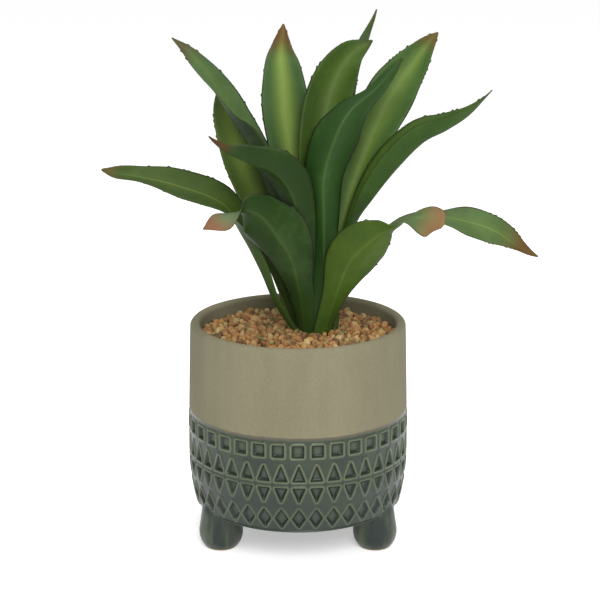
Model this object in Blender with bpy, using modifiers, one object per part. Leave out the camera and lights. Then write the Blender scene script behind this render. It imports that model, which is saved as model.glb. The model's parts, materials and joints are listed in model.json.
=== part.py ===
"""Potted agave: a broad-leaved agave rooted in a three-footed stoneware pot topped with gravel.

Every length below is in millimetres and is turned into metres by MM where a mesh is made.
Heights are measured from the surface that the feet stand on, and X and Y from the pot's axis.
The finished plant and pot hang on one empty, which brings the middle of the whole object's
footprint onto the origin.
"""

import math

import bmesh
import bpy
from mathutils import Vector

MM = 0.001
GAP = 0.3
COLLECTION_NAME = "potted_agave"

# Pot: a turned bowl on three stub feet, fired as one piece.
POT_HEIGHT = 123.0
POT_RADIUS = 60.5
RIM_RADIUS = 59.2
RIM_ROUND = 2.6
WALL = 5.5
FLOOR_UNDERSIDE = 21.0
FLOOR_TOP = 27.0
FLOOR_CORNER = 10.0
BOTTOM_EDGE_RADIUS = 57.0
FOOT_COUNT = 3
FOOT_CIRCLE = 49.0
FOOT_RADIUS = 12.4
FOOT_PAD_RADIUS = 7.5
FOOT_TOP = 26.0
BACK_FOOT_ANGLE = 90.0
TURN_STEPS = 48
FOOT_STEPS = 24
CORNER_STEPS = 4
RIM_STEPS = 3
WELD_DISTANCE = 0.01

# Filling: a plug of potting compost and a bed of gravel on it.
SOIL_TOP = 108.0
GRAVEL_EDGE_TOP = 116.5
GRAVEL_MIDDLE_TOP = 118.0

# Plant: a short stem, with every leaf sheathed round it.
CROWN_X = 8.0
CROWN_Y = 4.0
STEM_RADIUS = 5.2
STEM_TOP = 146.0
LEAF_THICKNESS = 1.2
RIBS_ALONG = 20
LENGTH_STEPS = 12
TANGENT_REACH = 0.05
PANELS_ACROSS = 4
CREASE_SOFTNESS = 0.35

# Each leaf is drawn from its foot to its tip by stations along its midrib:
# (x, y, height, blade width, roll, fold), with roll and fold in degrees. Roll turns the blade
# about its midrib, and fold lifts both halves towards the upper face. The heading, in degrees
# anticlockwise from +X, is the way that the leaf grows out from the stem.
LEAVES = {
    "leaf_left_low": (190, (
        (-3, -3, 119, 6, -20, 15),
        (-13, -5, 136, 9, 0, 35),
        (-20, -3, 152, 12, 0, 40),
        (-29, -2, 170, 18, 10, 35),
        (-41, -3, 188, 24, 30, 20),
        (-64, -5, 198, 23, 35, 15),
        (-83, -6, 203, 15, 30, 20),
        (-96, -4, 205, 10, 40, 15),
        (-105, -3, 207, 1, 50, 0),
    )),
    "leaf_left_back": (150, (
        (-3, 10, 119, 8, -5, 15),
        (-18, 17, 164, 17, 15, 15),
        (-25, 24, 188, 24, 25, 15),
        (-32, 30, 209, 27, 30, 15),
        (-38, 35, 227, 24, 25, 15),
        (-40, 39, 239, 16, 25, 10),
        (-41, 42, 251, 1, 25, 0),
    )),
    "leaf_left_high": (165, (
        (-1, 7, 119, 6, 0, 15),
        (-12, 9, 179, 18, -5, 40),
        (-18, 10, 199, 21, -10, 45),
        (-26, 13, 217, 27, -15, 40),
        (-35, 16, 231, 27, 0, 30),
        (-45, 18, 249, 20, 15, 20),
        (-57, 21, 265, 10, 30, 0),
        (-68, 24, 274, 1, 30, 0),
    )),
    "leaf_front_left": (235, (
        (4, -7, 119, 9, -10, 15),
        (1, -15, 142, 17, -30, 35),
        (-4, -20, 163, 31, -35, 35),
        (-11, -23, 175, 37, -40, 35),
        (-18, -26, 185, 33, -60, 40),
        (-26, -28, 190, 17, -65, 25),
        (-32, -30, 189, 12, -20, 0),
        (-40, -34, 186, 15, 15, -10),
        (-49, -38, 182, 1, 20, 0),
    )),
    "leaf_front_hood": (210, (
        (1, -2, 119, 7, -5, 15),
        (1, -8, 170, 19, -45, 35),
        (-1, -10, 188, 24, -50, 40),
        (-5, -12, 199, 28, -50, 40),
        (-12, -16, 208, 25, -50, 40),
        (-22, -21, 213, 20, -45, 45),
        (-30, -25, 217, 15, -35, 50),
        (-38, -27, 221, 8, -25, 50),
        (-46, -28, 229, 1, -25, 0),
    )),
    "leaf_back_upright": (95, (
        (5, 11, 119, 6, -15, 15),
        (4, 20, 159, 12, 5, 35),
        (0, 26, 186, 19, 5, 30),
        (-4, 30, 212, 27, 5, 30),
        (-7, 34, 236, 30, 5, 30),
        (-9, 37, 257, 22, 0, 25),
        (-9, 39, 268, 12, 5, 20),
        (-8, 40, 280, 1, 5, 0),
    )),
    "leaf_back_curled": (60, (
        (12, 9, 119, 7, 10, 15),
        (11, 12, 164, 13, -25, 30),
        (11, 15, 186, 20, -25, 30),
        (12, 21, 213, 28, -30, 30),
        (16, 28, 235, 30, -25, 30),
        (21, 34, 251, 27, -30, 30),
        (29, 38, 263, 18, -30, 30),
        (41, 40, 271, 1, -30, 0),
    )),
    "leaf_front_tall": (300, (
        (11, -5, 119, 9, 10, 15),
        (14, -3, 153, 14, 30, 25),
        (14, -3, 178, 20, 30, 35),
        (14, -3, 203, 28, 30, 40),
        (20, -3, 224, 32, 35, 40),
        (28, 0, 238, 25, 40, 45),
        (42, 7, 249, 13, 35, 50),
        (56, 16, 264, 1, 35, 0),
    )),
    "leaf_back_tallest": (75, (
        (6, 14, 119, 7, -25, 15),
        (15, 31, 171, 14, 0, 45),
        (23, 43, 209, 18, 20, 40),
        (29, 52, 235, 17, 15, 45),
        (35, 57, 258, 12, 35, 45),
        (39, 59, 269, 9, 40, 50),
        (44, 62, 286, 1, 40, 0),
    )),
    "leaf_right_back": (45, (
        (15, 10, 119, 7, 5, 15),
        (21, 17, 159, 11, -25, 30),
        (27, 23, 180, 15, -20, 35),
        (34, 30, 200, 21, -30, 35),
        (42, 37, 220, 30, -35, 35),
        (52, 44, 240, 31, -40, 30),
        (64, 50, 256, 22, -35, 30),
        (72, 53, 267, 11, -35, 25),
        (78, 54, 274, 1, -35, 0),
    )),
    "leaf_right_high": (5, (
        (17, 2, 119, 7, 10, 15),
        (25, 5, 155, 10, 0, 30),
        (31, 6, 176, 14, 0, 35),
        (41, 7, 191, 24, 0, 50),
        (53, 8, 206, 29, 0, 55),
        (67, 9, 220, 27, 0, 55),
        (80, 9, 227, 20, 0, 50),
        (92, 9, 235, 11, 0, 45),
        (104, 9, 248, 1, 0, 0),
    )),
    "leaf_front_right": (315, (
        (14, -8, 119, 11, 20, 15),
        (20, -12, 139, 15, 40, 20),
        (27, -15, 158, 28, 50, 20),
        (36, -18, 169, 28, 50, 20),
        (45, -21, 177, 16, 45, 15),
        (51, -23, 180, 6, 20, 5),
        (57, -26, 185, 9, -20, -5),
        (65, -29, 186, 18, -45, -15),
        (71, -32, 185, 17, -50, -15),
        (75, -36, 183, 3, -50, 0),
    )),
    "leaf_right_low": (350, (
        (21, 1, 119, 7, 0, 15),
        (24, 4, 138, 8, -15, 15),
        (37, 6, 158, 12, -10, 10),
        (51, 8, 173, 12, -5, 10),
        (63, 9, 179, 14, -10, -5),
        (78, 10, 178, 18, -10, 0),
        (93, 11, 175, 23, -30, 5),
        (108, 11, 170, 20, -35, 5),
        (121, 11, 161, 11, -30, 25),
        (132, 10, 156, 1, -30, 0),
    )),
    "leaf_back_low_left": (110, (
        (4, 17, 119, 8, 0, 15),
        (1, 23, 138, 14, 0, 25),
        (-4, 34, 160, 22, 0, 25),
        (-9, 48, 172, 22, 0, 20),
        (-14, 62, 172, 14, 0, 15),
        (-18, 72, 167, 1, 0, 0),
    )),
    "leaf_back_low_right": (55, (
        (17, 14, 119, 8, 0, 15),
        (22, 20, 135, 13, 0, 25),
        (28, 30, 148, 18, 0, 25),
        (35, 41, 153, 18, 0, 20),
        (41, 51, 150, 12, 0, 15),
        (46, 59, 144, 1, 0, 0),
    )),
}


def clear_scene():
    """Start from an empty scene."""
    for old in list(bpy.data.objects):
        bpy.data.objects.remove(old, do_unlink=True)


def make_material(name, colour, roughness):
    """A plain Principled finish for one sub-part."""
    material = bpy.data.materials.new(name)
    material.use_nodes = True
    shader = material.node_tree.nodes["Principled BSDF"]
    shader.inputs["Base Color"].default_value = (*colour, 1.0)
    shader.inputs["Roughness"].default_value = roughness
    shader.inputs["Metallic"].default_value = 0.0
    return material


def add_object(name, mesh, material, parent, collection):
    """Put a mesh in the scene as one named sub-part that hangs on the parent empty."""
    sub_part = bpy.data.objects.new(name, mesh)
    mesh.materials.append(material)
    collection.objects.link(sub_part)
    sub_part.parent = parent
    return sub_part


def arc(centre_x, centre_z, radius, start, end, steps):
    """Points of a round stretch of a profile, from start to end in degrees."""
    points = []
    for step in range(steps + 1):
        angle = math.radians(start + (end - start) * step / steps)
        points.append((centre_x + radius * math.cos(angle), centre_z + radius * math.sin(angle)))
    return points


def turned(name, profile, steps, material, parent, collection):
    """A solid turned from an (x, height) profile, which runs down its outer side."""
    mesh = bpy.data.meshes.new(name)
    points = [(x * MM, 0.0, z * MM) for x, z in profile]
    edges = [(index, index + 1) for index in range(len(points) - 1)]
    mesh.from_pydata(points, edges, [])
    sub_part = add_object(name, mesh, material, parent, collection)
    screw = sub_part.modifiers.new("turn", "SCREW")
    screw.steps = steps
    screw.render_steps = steps
    screw.use_merge_vertices = True
    screw.merge_threshold = WELD_DISTANCE * MM
    screw.use_smooth_shade = True
    return sub_part


def pot_profile():
    """The bowl: up its inner wall, over the rounded rim, down the outside to the underside."""
    inner_radius = RIM_RADIUS - WALL
    inner_corner = arc(
        inner_radius - FLOOR_CORNER, FLOOR_TOP + FLOOR_CORNER, FLOOR_CORNER, -90.0, 0.0, CORNER_STEPS
    )
    rim_height = POT_HEIGHT - RIM_ROUND
    inner_rim = arc(inner_radius + RIM_ROUND, rim_height, RIM_ROUND, 180.0, 90.0, RIM_STEPS)
    outer_rim = arc(RIM_RADIUS - RIM_ROUND, rim_height, RIM_ROUND, 90.0, 0.0, RIM_STEPS)
    outside = [
        (POT_RADIUS, 75.0),
        (POT_RADIUS, 50.0),
        (POT_RADIUS - 0.6, 38.0),
        (POT_RADIUS - 1.8, 28.0),
        (BOTTOM_EDGE_RADIUS, FLOOR_UNDERSIDE),
    ]
    return (
        [(0.0, FLOOR_TOP)] + inner_corner + inner_rim + outer_rim
        + outside + [(0.0, FLOOR_UNDERSIDE)]
    )


def foot_profile():
    """A bulging stub: domed inside the bowl's floor, with a flat pad to stand on."""
    return [
        (0.0, FOOT_TOP),
        (0.5 * FOOT_RADIUS, FOOT_TOP - 1.0),
        (0.78 * FOOT_RADIUS, FOOT_TOP - 3.5),
        (0.94 * FOOT_RADIUS, FOOT_TOP - 8.0),
        (FOOT_RADIUS, 12.0),
        (0.97 * FOOT_RADIUS, 7.0),
        (0.88 * FOOT_RADIUS, 3.0),
        (0.72 * FOOT_RADIUS, 0.7),
        (FOOT_PAD_RADIUS, 0.0),
        (0.0, 0.0),
    ]


def build_pot(parent, parts, cutters):
    """The glazed bowl with its three feet joined on."""
    stoneware = make_material("stoneware", (0.32, 0.30, 0.19), 0.6)
    pot = turned("pot", pot_profile(), TURN_STEPS, stoneware, parent, parts)
    for index in range(FOOT_COUNT):
        angle = math.radians(BACK_FOOT_ANGLE + 360.0 * index / FOOT_COUNT)
        name = f"foot_{index + 1}"
        foot = turned(name, foot_profile(), FOOT_STEPS, stoneware, parent, cutters)
        foot.location = Vector((math.cos(angle), math.sin(angle), 0.0)) * FOOT_CIRCLE * MM
        foot.hide_render = True
        foot.display_type = "WIRE"
        union = pot.modifiers.new(name, "BOOLEAN")
        union.operation = "UNION"
        union.solver = "EXACT"
        union.object = foot
    return pot


def build_soil(parent, parts):
    """The plug of compost that fills the bowl under the gravel."""
    compost = make_material("compost", (0.05, 0.03, 0.02), 0.95)
    radius = RIM_RADIUS - WALL - GAP
    bottom = FLOOR_TOP + GAP
    corner = arc(radius - FLOOR_CORNER, bottom + FLOOR_CORNER, FLOOR_CORNER, 0.0, -90.0, CORNER_STEPS)
    profile = [(0.0, SOIL_TOP), (radius, SOIL_TOP)] + corner + [(0.0, bottom)]
    return turned("soil", profile, TURN_STEPS, compost, parent, parts)


def build_gravel(parent, parts):
    """The gravel bed: a low mound with a hole for the stem."""
    pebble = make_material("pebble", (0.36, 0.17, 0.06), 0.8)
    mesh = bpy.data.meshes.new("gravel")
    bed = bmesh.new()
    radius = RIM_RADIUS - WALL - GAP
    bottom = SOIL_TOP + GAP
    rings = ((0.0, bottom), (0.0, GRAVEL_MIDDLE_TOP), (1.0, GRAVEL_EDGE_TOP), (1.0, bottom))
    loops = []
    for outward, height in rings:
        loop = []
        for step in range(TURN_STEPS):
            angle = 2.0 * math.pi * step / TURN_STEPS
            ring = Vector((math.cos(angle), math.sin(angle), 0.0))
            hole = ring * (STEM_RADIUS + GAP) + Vector((CROWN_X, CROWN_Y, 0.0))
            place = hole.lerp(ring * radius, outward)
            place.z = height
            loop.append(bed.verts.new(place * MM))
        loops.append(loop)
    for inner, outer in zip(loops, loops[1:] + loops[:1]):
        for step in range(TURN_STEPS):
            after = (step + 1) % TURN_STEPS
            bed.faces.new((inner[step], outer[step], outer[after], inner[after]))
    bmesh.ops.recalc_face_normals(bed, faces=bed.faces)
    bed.to_mesh(mesh)
    bed.free()
    return add_object("gravel", mesh, pebble, parent, parts)


def build_stem(parent, parts):
    """The short woody stem at the heart of the leaves, standing on the compost."""
    woody = make_material("stem", (0.09, 0.12, 0.04), 0.7)
    shoulder = STEM_RADIUS - 1.0
    profile = [
        (0.0, STEM_TOP),
        (0.7 * shoulder, STEM_TOP - 1.0),
        (shoulder, STEM_TOP - 4.0),
        (STEM_RADIUS, SOIL_TOP + GAP),
        (0.0, SOIL_TOP + GAP),
    ]
    stem = turned("stem", profile, FOOT_STEPS, woody, parent, parts)
    stem.location = Vector((CROWN_X, CROWN_Y, 0.0)) * MM
    return stem


def between(stations, place):
    """The station at a place from 0 to len(stations) - 1, on a smooth curve through them all."""
    index = min(int(place), len(stations) - 2)
    part = place - index
    start, end = stations[index], stations[index + 1]
    before = stations[index - 1] if index else [2 * a - b for a, b in zip(start, end)]
    last = index + 2 == len(stations)
    after = [2 * b - a for a, b in zip(start, end)] if last else stations[index + 2]
    blended = []
    for a, b, c, d in zip(before, start, end, after):
        slope = c - a
        bend = 2 * a - 5 * b + 4 * c - d
        twist = 3 * b - a - 3 * c + d
        blended.append(b + 0.5 * part * (slope + part * (bend + part * twist)))
    return blended


def even_places(stations, count):
    """Places along the stations that are equal lengths of midrib apart."""
    fine = LENGTH_STEPS * (len(stations) - 1)
    places = [(len(stations) - 1) * step / fine for step in range(fine + 1)]
    points = [Vector(between(stations, place)[:3]) for place in places]
    lengths = [0.0]
    for start, end in zip(points, points[1:]):
        lengths.append(lengths[-1] + (end - start).length)
    even = []
    index = 0
    for step in range(count + 1):
        wanted = lengths[-1] * step / count
        while index < fine - 1 and lengths[index + 1] < wanted:
            index += 1
        part = (wanted - lengths[index]) / (lengths[index + 1] - lengths[index])
        even.append(places[index] + min(part, 1.0) * (places[index + 1] - places[index]))
    return even


def crease(across):
    """How far a blade has risen from its midrib at -1 to 1 across, with a soft fold."""
    rise = math.hypot(across, CREASE_SOFTNESS) - CREASE_SOFTNESS
    return rise / (math.hypot(1.0, CREASE_SOFTNESS) - CREASE_SOFTNESS)


def leaf_rib(heading, stations, place):
    """The points across a leaf, from its left margin to its right, at one place along it."""
    x, y, z, width, roll, fold = between(stations, place)
    end = len(stations) - 1
    ahead = Vector(between(stations, min(place + TANGENT_REACH, end))[:3])
    behind = Vector(between(stations, max(place - TANGENT_REACH, 0.0))[:3])
    along = (ahead - behind).normalized()
    turn = math.radians(heading)
    level = Vector((math.sin(turn), -math.cos(turn), 0.0))
    level = (level - level.dot(along) * along).normalized()
    face = level.cross(along)
    across = math.cos(math.radians(roll)) * level + math.sin(math.radians(roll)) * face
    upper = across.cross(along)
    spread = 0.5 * width * math.cos(math.radians(fold))
    lift = 0.5 * width * math.sin(math.radians(fold))
    points = []
    for panel in range(PANELS_ACROSS + 1):
        side = 2.0 * panel / PANELS_ACROSS - 1.0
        points.append(Vector((x, y, z)) + across * spread * side + upper * lift * crease(side))
    return points


def build_leaf(name, heading, stations, material, parent, parts):
    """One leaf: a blade lofted through its ribs and given its thickness."""
    blade = bmesh.new()
    rows = []
    for place in even_places(stations, RIBS_ALONG):
        rib = leaf_rib(heading, stations, place)
        rows.append([blade.verts.new(point * MM) for point in rib])
    for row, following in zip(rows, rows[1:]):
        for left in range(PANELS_ACROSS):
            right = left + 1
            blade.faces.new((row[left], row[right], following[right], following[left]))
    mesh = bpy.data.meshes.new(name)
    blade.to_mesh(mesh)
    blade.free()
    mesh.shade_smooth()
    leaf = add_object(name, mesh, material, parent, parts)
    solidify = leaf.modifiers.new("thickness", "SOLIDIFY")
    solidify.thickness = LEAF_THICKNESS * MM
    solidify.offset = 0.0
    return leaf


def centre_footprint(parent, parts):
    """Move the empty so that the middle of the whole object's box stands over the origin."""
    graph = bpy.context.evaluated_depsgraph_get()
    corners = []
    for sub_part in parts.objects:
        if sub_part.type == "MESH":
            solid = sub_part.evaluated_get(graph)
            corners += [solid.matrix_world @ Vector(corner) for corner in solid.bound_box]
    for axis in (0, 1):
        lowest = min(corner[axis] for corner in corners)
        highest = max(corner[axis] for corner in corners)
        parent.location[axis] = -0.5 * (lowest + highest)


def main():
    clear_scene()
    parts = bpy.data.collections.new(COLLECTION_NAME)
    cutters = bpy.data.collections.new("pot_feet")
    for collection in (parts, cutters):
        bpy.context.scene.collection.children.link(collection)
    parent = bpy.data.objects.new("pot_axis", None)
    parts.objects.link(parent)
    build_pot(parent, parts, cutters)
    build_soil(parent, parts)
    build_gravel(parent, parts)
    build_stem(parent, parts)
    foliage = make_material("leaf", (0.07, 0.13, 0.03), 0.5)
    for name, (heading, stations) in LEAVES.items():
        build_leaf(name, heading, stations, foliage, parent, parts)
    centre_footprint(parent, parts)


main()
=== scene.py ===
"""Potted agave: the finished looks of a broad-leaved agave in a three-footed stoneware pot.

The pot's upper wall is bare, matt stoneware. Its lower wall is glazed over four rows of pressed
shapes: squares, triangles, upside-down triangles and diamonds. Gravel covers the compost, and
thirteen long leaves and two short back ones grow from a short stem. Lengths in tables are in
millimetres and are turned into metres by MM; heights are measured from the table top, and X and Y
from the pot's axis.
"""

import json
import math
import random

import bmesh
import bpy
from mathutils import Matrix, Vector, geometry, noise

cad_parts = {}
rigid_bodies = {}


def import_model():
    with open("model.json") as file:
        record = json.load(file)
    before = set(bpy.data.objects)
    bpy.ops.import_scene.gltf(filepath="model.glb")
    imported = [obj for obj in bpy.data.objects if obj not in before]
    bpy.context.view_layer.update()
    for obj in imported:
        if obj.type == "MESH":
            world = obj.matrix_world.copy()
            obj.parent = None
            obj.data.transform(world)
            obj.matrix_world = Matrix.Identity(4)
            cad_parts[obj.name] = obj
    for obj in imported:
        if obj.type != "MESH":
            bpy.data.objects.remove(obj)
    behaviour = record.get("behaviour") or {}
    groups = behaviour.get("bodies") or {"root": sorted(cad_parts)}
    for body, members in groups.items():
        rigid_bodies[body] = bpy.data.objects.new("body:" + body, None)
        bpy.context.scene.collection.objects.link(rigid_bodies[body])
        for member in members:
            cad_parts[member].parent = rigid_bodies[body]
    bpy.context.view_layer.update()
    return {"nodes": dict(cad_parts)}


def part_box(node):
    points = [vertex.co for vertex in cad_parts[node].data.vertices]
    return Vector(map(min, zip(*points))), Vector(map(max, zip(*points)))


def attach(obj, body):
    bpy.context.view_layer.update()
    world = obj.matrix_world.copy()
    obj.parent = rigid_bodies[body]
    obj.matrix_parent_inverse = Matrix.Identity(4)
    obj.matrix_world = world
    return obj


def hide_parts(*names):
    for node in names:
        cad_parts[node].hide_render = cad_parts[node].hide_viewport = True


bl_info = {
    "name": "Potted Agave",
    "version": (1, 0, 0),
    "blender": (4, 5, 0),
    "location": "View3D > Sidebar > Agave",
    "description": "Makes the pot, gravel and leaves of a potted agave around its fixed frame",
    "category": "Object",
}

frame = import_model()
MM = 0.001

# The pot's axis stands at the middle of its width. Its back foot sticks out past the wall, so the
# axis is found from the wall at its front.
POT_LOW, POT_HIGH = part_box("pot")
POT_RADIUS = 0.5 * (POT_HIGH.x - POT_LOW.x) / MM
POT_HEIGHT = POT_HIGH.z / MM
AXIS = Vector((0.5 * (POT_LOW.x + POT_HIGH.x), POT_LOW.y + POT_RADIUS * MM, 0.0))
GRAVEL_LOW, GRAVEL_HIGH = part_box("gravel")
BED_CLEARANCE = 0.3
BORE_RADIUS = 0.5 * (GRAVEL_HIGH.x - GRAVEL_LOW.x) / MM + BED_CLEARANCE
BED_UNDERSIDE = GRAVEL_LOW.z / MM
MOUND_TOP = GRAVEL_HIGH.z / MM

# Pot: heights of its parts, and the count of points round it, which every row of shapes divides.
ROUND_POINTS = 360
UNDERSIDE = 21.0
FLOOR_TOP = 27.0
BELLY_TOP = 50.0
RIM_ROUND = 2.6
FLOOR_CORNER = 10.0
CORNER_STEPS = 6
RIM_STEPS = 7
# The wall leans in by WALL_LEAN on its way up from its pattern, and by TUCK down to its underside,
# along a curve of the power TUCK_BEND.
WALL_LEAN = 1.3
TUCK = POT_RADIUS - 57.0
TUCK_BEND = 2.1
PATTERN_FOOT = 22.4
PATTERN_TOP = 73.2
GROUND_SINK = 0.25
WELD = 0.02 * MM
# Heights of the points up the bore and down the bare wall.
BORE_HEIGHTS = (60.0, 100.0, 110.0, 116.0)
WALL_HEIGHTS = (114.0, 106.0, 98.0, 90.0, 82.0, 77.0, 75.6)
# Where the bare wall steps in to its pattern, (height, step in); and the bead that rounds the wall
# off into the underside, (out from the pattern's lower edge, height).
STEP_IN = ((75.0, 0.05), (74.4, 0.18), (PATTERN_TOP, GROUND_SINK))
BEAD = (
    (0.0, PATTERN_FOOT), (0.35, 22.1), (0.45, 21.8), (0.2, 21.35), (-0.5, UNDERSIDE),
    (-2.0, UNDERSIDE),
)
UNDERSIDE_RINGS = (40.0, 20.0, 0.0)

# Rows of pressed shapes: how many go round, their heights, and the outline of one shape about the
# middle of its cell, (sideways, height), which is then rounded and swollen by ROUNDING.
ROUNDING = 0.5
ROWS = {
    "squares": (36, 62.2, PATTERN_TOP, ((-2.8, 64.8), (2.8, 64.8), (2.8, 70.7), (-2.8, 70.7))),
    "triangles": (40, 49.2, 62.2, ((-3.0, 51.4), (3.0, 51.4), (0.0, 59.2))),
    "drops": (40, 37.2, 49.2, ((0.0, 39.8), (3.0, 47.0), (-3.0, 47.0))),
    "diamonds": (40, PATTERN_FOOT, 37.2, ((0.0, 24.5), (3.3, 29.6), (0.0, 34.7), (-3.3, 29.6))),
}

# Mesh of a cell: its edge has points about ROW_STEP apart. Lines of points follow the shape, at the
# CONTOURS from its edge and the OUTER_CONTOURS from the outside of its ridge, with a point about
# every LINE_STEP and at the CORNER_TURNS (radians) round each corner. The points over the rest
# stand GROUND_MARGIN clear of those lines, and every point keeps LEAST_GAP from its neighbours.
ROW_STEP = 1.05
CONTOURS = (-0.75, -0.25, 0.0, 0.25, 0.5)
OUTER_CONTOURS = (0.25, 0.75)
LINE_STEP = 0.8
CORNER_TURNS = (0.35, 0.7, 1.05, 1.4, 1.75)
CONTOUR_TOLERANCE = 0.04
GROUND_COLUMNS = 9
GROUND_MARGIN = 1.2
EDGE_MARGIN = 0.3
LEAST_GAP = 0.24
# Relief of a shape, by distance from its edge, negative inside: where the ridge rises, where it
# falls past its width, where the recess drops, and where its floor holds a pool of glaze.
RIDGE_RISE = (-0.35, 0.3)
RIDGE_FALL = (-0.1, 0.6)
RECESS_DROP = (-0.9, 0.0)
POOL_EDGE = (-2.4, -0.7)

# Feet: (radius, height) down one foot, whose axis stands on FOOT_CIRCLE. BLEND_HEIGHTS are where a
# foot can meet the bowl. The crease is softened most within the first BLEND_REACH of both, and not
# at all past the second.
BLEND_HEIGHTS = (8.0, 32.0)
BLEND_REACH = (0.8, 4.0)
BLEND_ROUNDS = 14
FOOT_ANGLES = (90.0, 210.0, 330.0)
FOOT_CIRCLE = 49.0
FOOT_STEPS = 72
FOOT_SMOOTHING = 4
FOOT_PROFILE = (
    (0.0, 29.0), (5.0, 28.6), (8.4, 26.8), (10.0, 24.0), (10.8, 20.5), (11.1, 17.0), (11.7, 13.0),
    (12.1, 10.0), (11.9, 7.0), (11.1, 4.2), (9.8, 2.0), (8.6, 0.6), (7.5, 0.0), (0.0, 0.0),
)

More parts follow.
